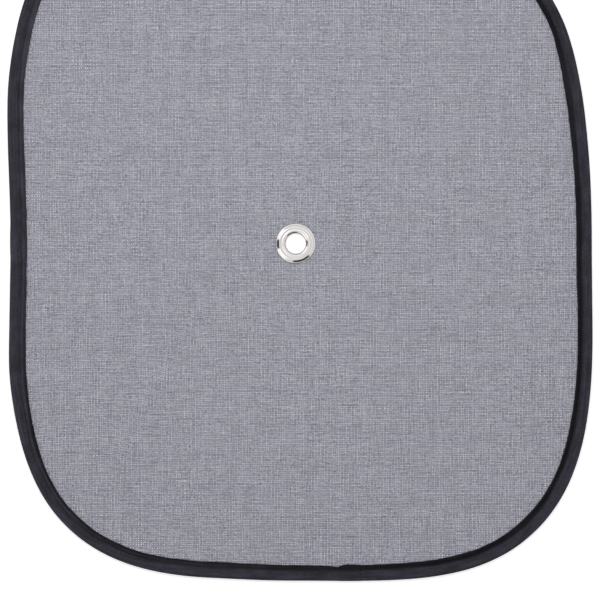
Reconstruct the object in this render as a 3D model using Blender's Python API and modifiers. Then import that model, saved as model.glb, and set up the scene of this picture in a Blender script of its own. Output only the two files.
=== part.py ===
"""Twist-fold sunshade for a car's side window.

A see-through mesh panel is held taut by a hoop of spring wire. A tape is folded over the wire and the
panel's edge all round and sewn down, and a two-piece metal eyelet is set in the middle of the mesh for a
suction cup. The shade lies flat: X is its width, Y its height and Z points up out of the face that looks
into the car. The origin is under the middle of the outline, on the surface that the binding lies on.
"""

import math

import bmesh
import bpy
from mathutils import Matrix, Vector

MM = 0.001

# The outline is a superellipse with its own power for each corner: the higher, the squarer
SHADE_WIDTH = 380 * MM
SHADE_HEIGHT = 440 * MM
TOP_RIGHT_POWER = 3.05
TOP_LEFT_POWER = 4.30
BOTTOM_LEFT_POWER = 3.55
BOTTOM_RIGHT_POWER = 3.85
OUTLINE_POINTS = 76

# The hoop draws in on its left side, where a stiff straight ferrule joins the wire's ends
WAIST_DEPTH = 2.0 * MM
WAIST_REACH = 55 * MM
WAIST_RUN = 20 * MM

# Least gap that is left between pieces that touch on the real shade
SEAT_GAP = 0.3 * MM

# Mesh panel: a thin core with a plain grid of openings, and ridges of thread along each bar between
# them, weft on top and warp underneath. The grid is centred on the eyelet, which takes its middle cell
CORE_THICKNESS = 0.2 * MM
THREAD_HEIGHT = 0.2 * MM
THREAD_WIDTH = 1.0 * MM
THREAD_PITCH = 3.2 * MM
THREADS_PER_BAR = 4
BAR_WIDTH = 13 * MM
OPENINGS_ACROSS = 11
OPENINGS_UP = 11
OPENING_MARGIN = 4 * MM

# Spring wire hoop, and the ferrule that is crimped over its two ends
WIRE_DIAMETER = 1.6 * MM
WIRE_END_GAP = 0.5 * MM
WIRE_SIDES_RESOLUTION = 2
FERRULE_WALL = 0.3 * MM
FERRULE_LENGTH = 15 * MM
FERRULE_STEPS = 12

# Binding: one tape folded over the edge, ends lapped at the bottom
BINDING_WIDTH = 10 * MM
TAPE_THICKNESS = 0.5 * MM
SEAM_FROM_LIP = 2.6 * MM
CROWN_FROM_EDGE = 3.2 * MM
FLAT_WIDTH = 2.8 * MM
CROWN_DROP = 0.1 * MM
LAP_X = 32.5 * MM
LAP_LENGTH = 14 * MM
LAP_STEP = 0.6 * MM

# Sewing thread of the seam
SEWING_THREAD_DIAMETER = 0.5 * MM
LAP_RAMP = 3 * MM

# Eyelet, measured on its hole and flange
EYELET_X = -2.4 * MM
EYELET_Y = -1.6 * MM
EYELET_HOLE_DIAMETER = 13.2 * MM
EYELET_FLANGE_DIAMETER = 25.3 * MM
EYELET_WALL = 0.4 * MM
EYELET_CROWN = 1.9 * MM
EYELET_LIP_WIDTH = 0.8 * MM
EYELET_SHOULDER_WIDTH = 0.9 * MM
EYELET_BEAD_WIDTH = 1.3 * MM
EYELET_GROOVE_DEPTH = 0.15 * MM
EYELET_MOUTH_BEND = 1.3 * MM
EYELET_CLINCH_WIDTH = 2.4 * MM
EYELET_CLINCH_BEND = 0.5 * MM
EYELET_STEPS = 40
WASHER_DISH = 0.55 * MM

# Worked out from the sizes above
PANEL_HALF = CORE_THICKNESS / 2 + THREAD_HEIGHT
WIRE_RADIUS = WIRE_DIAMETER / 2
FERRULE_INNER_RADIUS = WIRE_RADIUS + SEAT_GAP
FERRULE_OUTER_RADIUS = FERRULE_INNER_RADIUS + FERRULE_WALL
CAVITY_HALF = FERRULE_OUTER_RADIUS + SEAT_GAP
BINDING_HALF = CAVITY_HALF + TAPE_THICKNESS
PANEL_Z = BINDING_HALF
WIRE_INSET = TAPE_THICKNESS + SEAT_GAP + FERRULE_OUTER_RADIUS
PANEL_INSET = WIRE_INSET + FERRULE_OUTER_RADIUS + SEAT_GAP
SEAM_INSET = BINDING_WIDTH - SEAM_FROM_LIP
LIP_HALF = PANEL_HALF + SEAT_GAP
BARREL_INNER_RADIUS = EYELET_HOLE_DIAMETER / 2
BARREL_MID_RADIUS = BARREL_INNER_RADIUS + EYELET_WALL / 2
BARREL_OUTER_RADIUS = BARREL_INNER_RADIUS + EYELET_WALL
FLANGE_RADIUS = EYELET_FLANGE_DIAMETER / 2
PUNCHED_HOLE_RADIUS = BARREL_OUTER_RADIUS + SEAT_GAP
GRID_INSET = BINDING_WIDTH + OPENING_MARGIN
GRID_PITCH_X = (SHADE_WIDTH - 2 * (GRID_INSET + abs(EYELET_X))) / OPENINGS_ACROSS
GRID_PITCH_Y = (SHADE_HEIGHT - 2 * (GRID_INSET + abs(EYELET_Y))) / OPENINGS_UP
OPENING_WIDTH = GRID_PITCH_X - BAR_WIDTH
OPENING_HEIGHT = GRID_PITCH_Y - BAR_WIDTH
LEFT_POINT = OUTLINE_POINTS // 2
BOTTOM_POINT = 3 * OUTLINE_POINTS // 4 + 1


def start_empty():
    """Clears the scene and makes the collections for the shade and for its cutters and guides."""
    for old in list(bpy.data.objects):
        bpy.data.objects.remove(old, do_unlink=True)
    shade = bpy.data.collections.new("window_sunshade")
    guides = bpy.data.collections.new("cutters_and_guides")
    bpy.context.scene.collection.children.link(shade)
    bpy.context.scene.collection.children.link(guides)
    return shade, guides


def finish_of(name, colour, roughness, metallic=0.0, alpha=1.0):
    """A material with one Principled shader."""
    material = bpy.data.materials.new(name)
    material.use_nodes = True
    shader = material.node_tree.nodes["Principled BSDF"]
    shader.inputs["Base Color"].default_value = (*colour, 1.0)
    shader.inputs["Roughness"].default_value = roughness
    shader.inputs["Metallic"].default_value = metallic
    shader.inputs["Alpha"].default_value = alpha
    return material


def place(name, data, collection, material=None, guide=False):
    """Links an object for this mesh or curve. A guide shapes other pieces and isn't one itself."""
    piece = bpy.data.objects.new(name, data)
    collection.objects.link(piece)
    if material:
        data.materials.append(material)
    if guide:
        piece.hide_render = True
        piece.display_type = "WIRE"
    return piece


def corner_power(across, up):
    """The power of the outline's corner on this side of the middle."""
    if up >= 0:
        return TOP_RIGHT_POWER if across >= 0 else TOP_LEFT_POWER
    return BOTTOM_RIGHT_POWER if across >= 0 else BOTTOM_LEFT_POWER


def outline_point(angle, inset):
    """A point of the outer edge, moved inwards by inset at right angles to the edge."""
    across, up = math.cos(angle), math.sin(angle)
    power = corner_power(across, up)
    x_share = math.copysign(abs(across) ** (2 / power), across)
    y_share = math.copysign(abs(up) ** (2 / power), up)
    normal = Vector(
        (
            math.copysign(abs(x_share) ** (power - 1) / SHADE_WIDTH, across),
            math.copysign(abs(y_share) ** (power - 1) / SHADE_HEIGHT, up),
        )
    ).normalized()
    edge = Vector((x_share * SHADE_WIDTH / 2, y_share * SHADE_HEIGHT / 2))
    waist = WAIST_DEPTH * math.exp(-((edge.y / WAIST_REACH) ** 2)) if across < 0 else 0
    return edge - (inset + waist) * normal


def outline(inset):
    """The closed outline at this inset, anticlockwise from the middle of the right side.

    The middle of the left side is a straight run, so it has two points.
    """
    points = [outline_point(2 * math.pi * step / OUTLINE_POINTS, inset) for step in range(OUTLINE_POINTS)]
    middle = points[LEFT_POINT]
    run = [middle + Vector((0, WAIST_RUN / 2)), middle - Vector((0, WAIST_RUN / 2))]
    return points[:LEFT_POINT] + run + points[LEFT_POINT + 1 :]


def curve_through(name, points, closed, flat=False):
    """A curve with straight runs between its points."""
    curve = bpy.data.curves.new(name, "CURVE")
    curve.dimensions = "2D" if flat else "3D"
    spline = curve.splines.new("POLY")
    spline.points.add(len(points) - 1)
    for knot, point in zip(spline.points, points):
        x, y = point[0], point[1]
        z = point[2] if len(point) > 2 else 0.0
        knot.co = (x, y, z, 1.0)
    spline.use_cyclic_u = closed
    return curve


def as_mesh(piece, collection):
    """Turns a curve object into a mesh object with its caps welded, so that it can be cut or joined."""
    evaluated = piece.evaluated_get(bpy.context.evaluated_depsgraph_get())
    mesh = bpy.data.meshes.new_from_object(evaluated)
    welded = bmesh.new()
    welded.from_mesh(mesh)
    bmesh.ops.remove_doubles(welded, verts=welded.verts, dist=0.001 * MM)
    bmesh.ops.recalc_face_normals(welded, faces=welded.faces)
    welded.to_mesh(mesh)
    welded.free()
    name, location = piece.name, piece.matrix_world.copy()
    bpy.data.objects.remove(piece, do_unlink=True)
    solid = bpy.data.objects.new(name, mesh)
    solid.matrix_world = location
    collection.objects.link(solid)
    return solid


def prism(name, points, thickness, collection, turn=None):
    """A flat outline with a thickness, centred on its own plane and turned by a rotation if one is given."""
    curve = curve_through(name, points, closed=True, flat=True)
    curve.fill_mode = "BOTH"
    curve.extrude = thickness / 2
    piece = place(name, curve, collection)
    if turn:
        piece.matrix_world = turn
    bpy.context.view_layer.update()
    return as_mesh(piece, collection)


def cut_or_join(piece, other, operation):
    """Adds a Boolean modifier and makes the other piece its guide."""
    modifier = piece.modifiers.new(other.name, "BOOLEAN")
    modifier.operation = operation
    modifier.solver = "EXACT"
    modifier.object = other
    other.hide_render = True
    other.display_type = "WIRE"


def turned(name, profile, steps, collection, material, closed):
    """A turned piece: a profile of (radius, height) points swept once round its own Z axis."""
    mesh = bpy.data.meshes.new(name)
    edges = [(i, i + 1) for i in range(len(profile) - 1)]
    if closed:
        edges.append((len(profile) - 1, 0))
    mesh.from_pydata([(radius, 0, height) for radius, height in profile], edges, [])
    piece = place(name, mesh, collection, material)
    screw = piece.modifiers.new("sweep", "SCREW")
    screw.steps = steps
    screw.render_steps = steps
    screw.use_merge_vertices = True
    screw.merge_threshold = 0.01 * MM
    screw.use_smooth_shade = True
    return piece


def arc(centre, radius, start, end, count):
    """Points of (radius, height) on an arc, from the start angle to the end angle in degrees."""
    angles = [math.radians(start + (end - start) * step / (count - 1)) for step in range(count)]
    return [(centre[0] + radius * math.cos(a), centre[1] + radius * math.sin(a)) for a in angles]


def thread_places(middle, pitch, openings):
    """Places of the ridges of thread: a few side by side on each bar of the grid."""
    bars = [middle + pitch * (number - openings / 2) for number in range(openings + 1)]
    offsets = [THREAD_PITCH * (number - (THREADS_PER_BAR - 1) / 2) for number in range(THREADS_PER_BAR)]
    return [bar + offset for bar in bars for offset in offsets]


def ridged_section(length, places):
    """Section of a slab with ridges at these places along one side: (place, height) points, ridges up."""
    level = CORE_THICKNESS / 2
    points = [(-length / 2, -level / 2), (-length / 2, level)]
    for middle in places:
        points.append((middle - THREAD_WIDTH / 2, level))
        points.append((middle, level + THREAD_HEIGHT))
        points.append((middle + THREAD_WIDTH / 2, level))
    points.append((length / 2, level))
    points.append((length / 2, -level / 2))
    return points[::-1]


def opening_is_clear(x, y):
    """Whether an opening with this middle stays clear of the eyelet's flange and of the binding."""
    reach = FLANGE_RADIUS + OPENING_MARGIN
    beside = abs(x - EYELET_X) > reach + OPENING_WIDTH / 2
    if not beside and abs(y - EYELET_Y) < reach + OPENING_HEIGHT / 2:
        return False
    across = (abs(x) + OPENING_WIDTH / 2) / (SHADE_WIDTH / 2 - GRID_INSET)
    up = (abs(y) + OPENING_HEIGHT / 2) / (SHADE_HEIGHT / 2 - GRID_INSET)
    return across ** corner_power(x, y) + up ** corner_power(x, y) < 1


def make_openings(guides):
    """The cutter for the mesh panel's grid, with a block for each opening."""
    size = Matrix.Diagonal((OPENING_WIDTH, OPENING_HEIGHT, 8 * PANEL_HALF, 1))
    blocks = bmesh.new()
    for row in range(OPENINGS_UP):
        for column in range(OPENINGS_ACROSS):
            x = EYELET_X + GRID_PITCH_X * (column - (OPENINGS_ACROSS - 1) / 2)
            y = EYELET_Y + GRID_PITCH_Y * (row - (OPENINGS_UP - 1) / 2)
            if opening_is_clear(x, y):
                middle = Matrix.Translation((x, y, PANEL_Z))
                bmesh.ops.create_cube(blocks, size=1, matrix=middle @ size)
    mesh = bpy.data.meshes.new("openings")
    blocks.to_mesh(mesh)
    blocks.free()
    return place("openings", mesh, guides)


def make_mesh_panel(shade, guides, material):
    """The mesh: ridged above and underneath, cut to the outline, opened in a grid and punched."""
    weft_turn = Matrix(((0, 0, 1, 0), (1, 0, 0, 0), (0, 1, 0, PANEL_Z), (0, 0, 0, 1)))
    warp_turn = Matrix(((1, 0, 0, 0), (0, 0, 1, 0), (0, -1, 0, PANEL_Z), (0, 0, 0, 1)))
    weft_section = ridged_section(SHADE_HEIGHT, thread_places(EYELET_Y, GRID_PITCH_Y, OPENINGS_UP))
    warp_section = ridged_section(SHADE_WIDTH, thread_places(EYELET_X, GRID_PITCH_X, OPENINGS_ACROSS))
    weft = prism("mesh_panel", weft_section, SHADE_WIDTH, shade, weft_turn)
    warp = prism("warp_side", warp_section, SHADE_HEIGHT, guides, warp_turn)
    cut = prism(
        "panel_outline",
        outline(PANEL_INSET),
        4 * PANEL_HALF,
        guides,
        Matrix.Translation((0, 0, PANEL_Z)),
    )
    bpy.ops.mesh.primitive_cylinder_add(
        vertices=EYELET_STEPS,
        radius=PUNCHED_HOLE_RADIUS,
        depth=8 * PANEL_HALF,
        location=(EYELET_X, EYELET_Y, PANEL_Z),
    )
    hole = bpy.context.active_object
    hole.name = "punched_hole"
    for collection in list(hole.users_collection):
        collection.objects.unlink(hole)
    guides.objects.link(hole)
    cut_or_join(weft, warp, "UNION")
    cut_or_join(weft, cut, "INTERSECT")
    cut_or_join(weft, make_openings(guides), "DIFFERENCE")
    cut_or_join(weft, hole, "DIFFERENCE")
    weft.data.materials.append(material)
    return weft


def binding_outside(crowned):
    """Outer face of the folded tape as (inset, height) points, from the fold to the lip.

    The tube round the wire is crowned above and lies flat underneath.
    """
    seam_half = LIP_HALF + TAPE_THICKNESS
    flat_start, flat_end = CROWN_FROM_EDGE - FLAT_WIDTH / 2, CROWN_FROM_EDGE + FLAT_WIDTH / 2
    drop = CROWN_DROP if crowned else 0
    tube = [(flat_start, BINDING_HALF - drop), (flat_end, BINDING_HALF - drop)]
    if crowned:
        tube.insert(1, (CROWN_FROM_EDGE, BINDING_HALF))
    return [
        (0.22 * CAVITY_HALF, 0.62 * BINDING_HALF),
        *tube,
        (SEAM_INSET - 0.8 * MM, seam_half + 0.25 * MM),
        (SEAM_INSET, seam_half),
        (SEAM_INSET + 0.9 * MM, seam_half + 0.2 * MM),
        (BINDING_WIDTH - 0.2 * MM, seam_half + 0.05 * MM),
    ]


def binding_inside():
    """Inner face of the folded tape as (inset, height) points, from the lip back to the fold."""
    return [
        (BINDING_WIDTH, LIP_HALF),
        (SEAM_INSET - 0.9 * MM, LIP_HALF),
        (CROWN_FROM_EDGE + FLAT_WIDTH / 2, CAVITY_HALF - CROWN_DROP),
        (CROWN_FROM_EDGE - FLAT_WIDTH / 2 + 0.3 * MM, CAVITY_HALF - CROWN_DROP / 2),
        (TAPE_THICKNESS + 0.25 * CAVITY_HALF, 0.68 * CAVITY_HALF),
    ]


def binding_section():
    """The closed section of the folded tape: a U that is open towards the panel."""
    upper = binding_outside(crowned=True) + binding_inside()
    under = binding_outside(crowned=False) + binding_inside()
    lower = [(inset, -height) for inset, height in reversed(under)]
    return [(0, 0)] + upper + [(TAPE_THICKNESS, 0)] + lower


def lap_section():
    """Section of the tape's tail, which is lapped over its start: the fold, the upper side and the lip."""
    outside = binding_outside(crowned=True)
    top = [(-TAPE_THICKNESS, -0.5 * BINDING_HALF), (-TAPE_THICKNESS, 0)]
    top.append((outside[0][0] - 0.7 * TAPE_THICKNESS, outside[0][1] + 0.7 * TAPE_THICKNESS))
    top += [(inset, height + TAPE_THICKNESS) for inset, height in outside[1:-1]]
    top.append((BINDING_WIDTH + LAP_STEP, outside[-1][1] + TAPE_THICKNESS))
    sunk = TAPE_THICKNESS / 2
    under = [(BINDING_WIDTH + LAP_STEP, LIP_HALF + sunk), (outside[-1][0], LIP_HALF + sunk)]
    under += [(inset, height - sunk) for inset, height in reversed(outside[1:-1])]
    under.append((outside[0][0] + sunk, outside[0][1] - sunk / 2))
    under += [(sunk, 0), (sunk, -0.5 * BINDING_HALF)]
    return top + under


def swept(name, path, section, closed, collection, guides):
    """A section of (inset, height) points swept along a flat path, upright all the way."""
    turned_inwards = [(-inset, height) for inset, height in section]
    profile_curve = curve_through(name + "_section", turned_inwards, closed=True, flat=True)
    profile_curve.fill_mode = "NONE"
    profile = place(name + "_section", profile_curve, guides, guide=True)
    curve = curve_through(name, path, closed=closed)
    curve.twist_mode = "Z_UP"
    curve.bevel_mode = "OBJECT"
    curve.bevel_object = profile
    curve.use_fill_caps = not closed
    piece = place(name, curve, collection)
    piece.location.z = PANEL_Z
    bpy.context.view_layer.update()
    return as_mesh(piece, collection)


def bottom_edge_run(inset, start_x, end_x, height):
    """Two points on the outline's bottom run at this inset, on the straight run that the lap lies on."""
    first, second = outline(inset)[BOTTOM_POINT : BOTTOM_POINT + 2]
    slope = (second.y - first.y) / (second.x - first.x)
    return [(x, first.y + slope * (x - first.x), height) for x in (start_x, end_x)]


def make_edge_binding(shade, guides, material):
    """The folded tape all round, with its tail lapped over its start."""
    tape = swept("edge_binding", outline(0), binding_section(), True, shade, guides)
    lap_path = bottom_edge_run(0, LAP_X - LAP_LENGTH / 2, LAP_X + LAP_LENGTH / 2, 0)
    lap = swept("tape_lap", lap_path, lap_section(), False, guides, guides)
    cut_or_join(tape, lap, "UNION")
    tape.data.materials.append(material)
    return tape


def round_rod(name, path, diameter, closed, collection, material, resolution):
    """A wire or thread of round section along a path."""
    curve = curve_through(name, path, closed)
    curve.twist_mode = "Z_UP"
    curve.bevel_depth = diameter / 2
    curve.bevel_resolution = resolution
    curve.use_fill_caps = not closed
    return place(name, curve, collection, material)


def make_hoop_wire(shade, material):
    """The spring wire: one length bent to the outline, its ends meeting at the middle of the left side."""
    points = outline(WIRE_INSET)
    meeting = outline_point(math.pi, WIRE_INSET)
    path = [(meeting.x, meeting.y - WIRE_END_GAP / 2, PANEL_Z)]
    path += [(point.x, point.y, PANEL_Z) for point in points[LEFT_POINT + 1 :] + points[: LEFT_POINT + 1]]
    path.append((meeting.x, meeting.y + WIRE_END_GAP / 2, PANEL_Z))
    return round_rod(
        "hoop_wire", path, WIRE_DIAMETER, False, shade, material, WIRE_SIDES_RESOLUTION
    )


def make_wire_ferrule(shade, material):
    """The sleeve crimped over the two ends of the wire."""
    half = FERRULE_LENGTH / 2
    profile = [
        (FERRULE_OUTER_RADIUS, half),
        (FERRULE_OUTER_RADIUS, -half),
        (FERRULE_INNER_RADIUS, -half),
        (FERRULE_INNER_RADIUS, half),
    ]
    sleeve = turned("wire_ferrule", profile, FERRULE_STEPS, shade, material, closed=True)
    meeting = outline_point(math.pi, WIRE_INSET)
    sleeve.location = (meeting.x, meeting.y, PANEL_Z)
    sleeve.rotation_euler.x = math.pi / 2
    return sleeve


def make_seam_threads(shade, needle_material, bobbin_material):
    """The seam's two threads, in the valley that they pull in the binding, above and below."""
    height = LIP_HALF + TAPE_THICKNESS + SEAT_GAP + SEWING_THREAD_DIAMETER / 2
    below = [(point.x, point.y, PANEL_Z - height) for point in outline(SEAM_INSET)]
    above = [(point.x, point.y, PANEL_Z + height) for point in outline(SEAM_INSET)]
    half = LAP_LENGTH / 2 + SEAT_GAP + SEWING_THREAD_DIAMETER / 2
    low, high = PANEL_Z + height, PANEL_Z + height + TAPE_THICKNESS
    climb = [
        *bottom_edge_run(SEAM_INSET, LAP_X - half - LAP_RAMP, LAP_X - half, low),
        *bottom_edge_run(SEAM_INSET, LAP_X + half, LAP_X + half + LAP_RAMP, low),
    ]
    climb[1] = (climb[1][0], climb[1][1], high)
    climb[2] = (climb[2][0], climb[2][1], high)
    above = above[: BOTTOM_POINT + 1] + climb + above[BOTTOM_POINT + 1 :]
    size = SEWING_THREAD_DIAMETER
    needle = round_rod("seam_needle_thread", above, size, True, shade, needle_material, 0)
    bobbin = round_rod("seam_bobbin_thread", below, size, True, shade, bobbin_material, 0)
    return needle, bobbin


def shell_of(piece):
    """Gives a turned sheet-metal piece its wall."""
    wall = piece.modifiers.new("wall", "SOLIDIFY")
    wall.thickness = EYELET_WALL
    wall.offset = 0
    wall.use_even_offset = True
    piece.location = (EYELET_X, EYELET_Y, PANEL_Z)
    return piece


def make_eyelet_grommet(shade, material):
    """The eyelet's front piece, pressed from one sheet.

    From outside in it has a flat lip, a steep shoulder, a bead, a shallow groove, the rolled mouth, the
    barrel through the mesh and the barrel's clinched end.
    """
    half = EYELET_WALL / 2
    lip = PANEL_HALF + SEAT_GAP + half
    crown = PANEL_HALF + EYELET_CROWN - half
    bead = crown - EYELET_GROOVE_DEPTH
    lip_end = FLANGE_RADIUS - EYELET_LIP_WIDTH
    shoulder_end = lip_end - EYELET_SHOULDER_WIDTH
    bead_end = shoulder_end - EYELET_BEAD_WIDTH
    washer_under = -(PANEL_HALF + SEAT_GAP + EYELET_WALL)
    clinch = washer_under - SEAT_GAP - half
    profile = [
        (FLANGE_RADIUS, lip),
        (lip_end, lip),
        (shoulder_end, bead - EYELET_GROOVE_DEPTH),
        ((shoulder_end + bead_end) / 2, bead),
        (bead_end, bead - EYELET_GROOVE_DEPTH),
    ]
    mouth_centre = (BARREL_MID_RADIUS + EYELET_MOUTH_BEND, crown - EYELET_MOUTH_BEND)
    profile += arc(mouth_centre, EYELET_MOUTH_BEND, 90, 180, 5)
    clinch_centre = (BARREL_MID_RADIUS + EYELET_CLINCH_BEND, clinch + EYELET_CLINCH_BEND)
    profile += arc(clinch_centre, EYELET_CLINCH_BEND, 180, 270, 3)
    profile += [(BARREL_MID_RADIUS + EYELET_CLINCH_WIDTH, clinch)]
    grommet = turned("eyelet_grommet", profile, EYELET_STEPS, shade, material, closed=False)
    return shell_of(grommet)


def make_eyelet_washer(shade, material):
    """The eyelet's back piece: a dished ring that the barrel's end is clinched over."""
    half = EYELET_WALL / 2
    inner = BARREL_OUTER_RADIUS + SEAT_GAP
    seat_width = EYELET_CLINCH_WIDTH - SEAT_GAP
    level = -(PANEL_HALF + SEAT_GAP + half)
    outer = FLANGE_RADIUS - half
    dish_start = inner + seat_width + 0.4 * MM
    dish_middle = (dish_start + outer) / 2
    profile = [
        (outer, level),
        (outer - 0.35 * (outer - dish_middle), level - 0.75 * WASHER_DISH),
        (dish_middle, level - WASHER_DISH),
        (dish_start + 0.35 * (dish_middle - dish_start), level - 0.75 * WASHER_DISH),
        (dish_start, level),
        (inner, level),
    ]
    washer = turned("eyelet_washer", profile, EYELET_STEPS, shade, material, closed=False)
    return shell_of(washer)


def smooth(piece, degrees=35):
    """Shades a mesh piece smooth, apart from its sharp edges."""
    piece.data.shade_smooth()
    piece.data.set_sharp_from_angle(angle=math.radians(degrees))


def main():
    shade, guides = start_empty()
    mesh_black = finish_of("mesh_fabric", (0.045, 0.045, 0.055), 0.8, alpha=0.7)
    tape_black = finish_of("binding_tape", (0.022, 0.021, 0.027), 0.65)
    thread_black = finish_of("sewing_thread", (0.012, 0.012, 0.014), 0.6)
    bobbin_black = finish_of("bobbin_thread", (0.012, 0.012, 0.014), 0.6)
    spring_steel = finish_of("spring_steel", (0.35, 0.35, 0.37), 0.35, metallic=1.0)
    crimp_steel = finish_of("crimp_steel", (0.45, 0.45, 0.46), 0.4, metallic=1.0)
    bright_nickel = finish_of("nickel_plate", (0.78, 0.76, 0.74), 0.16, metallic=1.0)
    washer_nickel = finish_of("nickel_washer", (0.74, 0.73, 0.71), 0.25, metallic=1.0)

    make_mesh_panel(shade, guides, mesh_black)
    tape = make_edge_binding(shade, guides, tape_black)
    make_hoop_wire(shade, spring_steel)
    make_wire_ferrule(shade, crimp_steel)
    make_seam_threads(shade, thread_black, bobbin_black)
    make_eyelet_grommet(shade, bright_nickel)
    make_eyelet_washer(shade, washer_nickel)
    smooth(tape)


main()
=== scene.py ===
import math

import bpy
import numpy as np
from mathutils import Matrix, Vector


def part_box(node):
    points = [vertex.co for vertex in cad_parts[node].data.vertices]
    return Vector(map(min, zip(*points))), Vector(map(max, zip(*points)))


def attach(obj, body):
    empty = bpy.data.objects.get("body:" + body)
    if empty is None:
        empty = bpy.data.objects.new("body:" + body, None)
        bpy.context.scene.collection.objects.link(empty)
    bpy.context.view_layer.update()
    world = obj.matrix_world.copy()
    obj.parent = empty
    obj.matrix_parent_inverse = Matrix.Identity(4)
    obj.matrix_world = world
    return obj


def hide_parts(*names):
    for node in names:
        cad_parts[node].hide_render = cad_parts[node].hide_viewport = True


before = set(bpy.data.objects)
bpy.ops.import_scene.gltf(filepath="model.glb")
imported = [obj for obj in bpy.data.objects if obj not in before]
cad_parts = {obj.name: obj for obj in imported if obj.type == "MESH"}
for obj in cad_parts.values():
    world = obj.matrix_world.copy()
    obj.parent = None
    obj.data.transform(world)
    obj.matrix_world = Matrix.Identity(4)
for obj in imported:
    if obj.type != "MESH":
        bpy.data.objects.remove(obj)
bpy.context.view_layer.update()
MM = 0.001

# Mesh panel: one sheet of open woven polyester, dyed dark grey, cut to the outline and punched in the
# middle for the eyelet. Every warp and weft thread is there, flat, soft and slubby. The weft lies in
# pairs, the spacing wanders a little, and one soft crease runs to the lower left.
WARP_SPACING = 1.04 * MM
WEFT_SPACING = 1.19 * MM
WARP_THREAD = (0.70 * MM, 0.17 * MM)
WEFT_THREAD = (0.77 * MM, 0.16 * MM)
SLUB_GROWTH = 0.24
WEFT_LIFT = 0.15 * MM
WEFT_PAIRING = 0.065 * MM
SPACING_JITTER = 0.045
STATION_GAP = 6.2 * MM
STATION_JITTER = 0.14 * MM
THREAD_EDGE_INSET = 4.4 * MM
PUNCHED_RADIUS = 8.2 * MM
STREAK_WIDTH = 13 * MM
STREAK_BEND = 60 * MM
BAND_WIDTH = 22.1 * MM
BAND_BEND = 75 * MM
STREAK_SHIFT = 0.12 * MM
DRIFT_SHIFT = 0.06 * MM
RIPPLE_WIDTH = 23 * MM
RIPPLE_LENGTH = 41 * MM
RIPPLE_BEND = 70 * MM
RIPPLE_HEIGHT = 0.27 * MM
CREASE_FROM = (-46 * MM, -23 * MM)
CREASE_TO = (-124 * MM, -153 * MM)
CREASE_BOW = 5 * MM
CREASE_HALF_WIDTH = 5 * MM
CREASE_HEIGHT = 0.675 * MM
CREASE_PULL = 2.2 * MM
CREASE_PULL_REACH = 30 * MM
EYELET_HOLD_REACH = 40 * MM
CORNER_POWERS = (3.05, 4.30, 3.55, 3.85)
WAIST_DEPTH = 2.0 * MM
WAIST_REACH = 55 * MM
OUTLINE_SAMPLES = 2880

tape_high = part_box("edge_binding")[1]
panel_low, panel_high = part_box("mesh_panel")
eyelet_low, eyelet_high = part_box("eyelet_grommet")
shade_half_width = tape_high.x
shade_half_height = tape_high.y
middle_height = (panel_low.z + panel_high.z) / 2
eyelet_x = (eyelet_low.x + eyelet_high.x) / 2
eyelet_y = (eyelet_low.y + eyelet_high.y) / 2
random_threads = np.random.default_rng(7)


def outline_with_normals(samples):
    """Points of the outer edge and their inward normals, anticlockwise from the right side's middle."""
    angle = np.linspace(0, 2 * np.pi, samples, endpoint=False)
    across, up = np.cos(angle), np.sin(angle)
    quarter = (angle // (np.pi / 2)).astype(int) % 4
    power = np.array(CORNER_POWERS)[quarter]
    x_share = np.sign(across) * np.abs(across) ** (2 / power)
    y_share = np.sign(up) * np.abs(up) ** (2 / power)
    edge = np.column_stack((x_share * shade_half_width, y_share * shade_half_height))
    slope_x = np.sign(across) * np.abs(x_share) ** (power - 1) / shade_half_width
    slope_y = np.sign(up) * np.abs(y_share) ** (power - 1) / shade_half_height
    normal = -np.column_stack((slope_x, slope_y))
    normal /= np.linalg.norm(normal, axis=1)[:, None]
    waist = WAIST_DEPTH * np.exp(-((edge[:, 1] / WAIST_REACH) ** 2)) * (across < 0)
    return edge + normal * waist[:, None], normal


panel_edge, panel_inward = outline_with_normals(OUTLINE_SAMPLES)
panel_cut = panel_edge + panel_inward * THREAD_EDGE_INSET


def spans(position, along_y):
    """Start and end of the thread at this x (or y), and of its two parts if the punched hole cuts it."""
    place, run = panel_cut.T if along_y else panel_cut.T[::-1]
    if not place.min() < position < place.max():
        return []
    high = run > 0
    order_high, order_low = np.argsort(place[high]), np.argsort(place[~high])
    top = np.interp(position, place[high][order_high], run[high][order_high])
    bottom = np.interp(position, place[~high][order_low], run[~high][order_low])
    middle, away = (eyelet_y, position - eyelet_x) if along_y else (eyelet_x, position - eyelet_y)
    if abs(away) >= PUNCHED_RADIUS:
        return [(bottom, top)]
    half = math.sqrt(PUNCHED_RADIUS**2 - away**2)
    return [(bottom, middle - half), (middle + half, top)]


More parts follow.
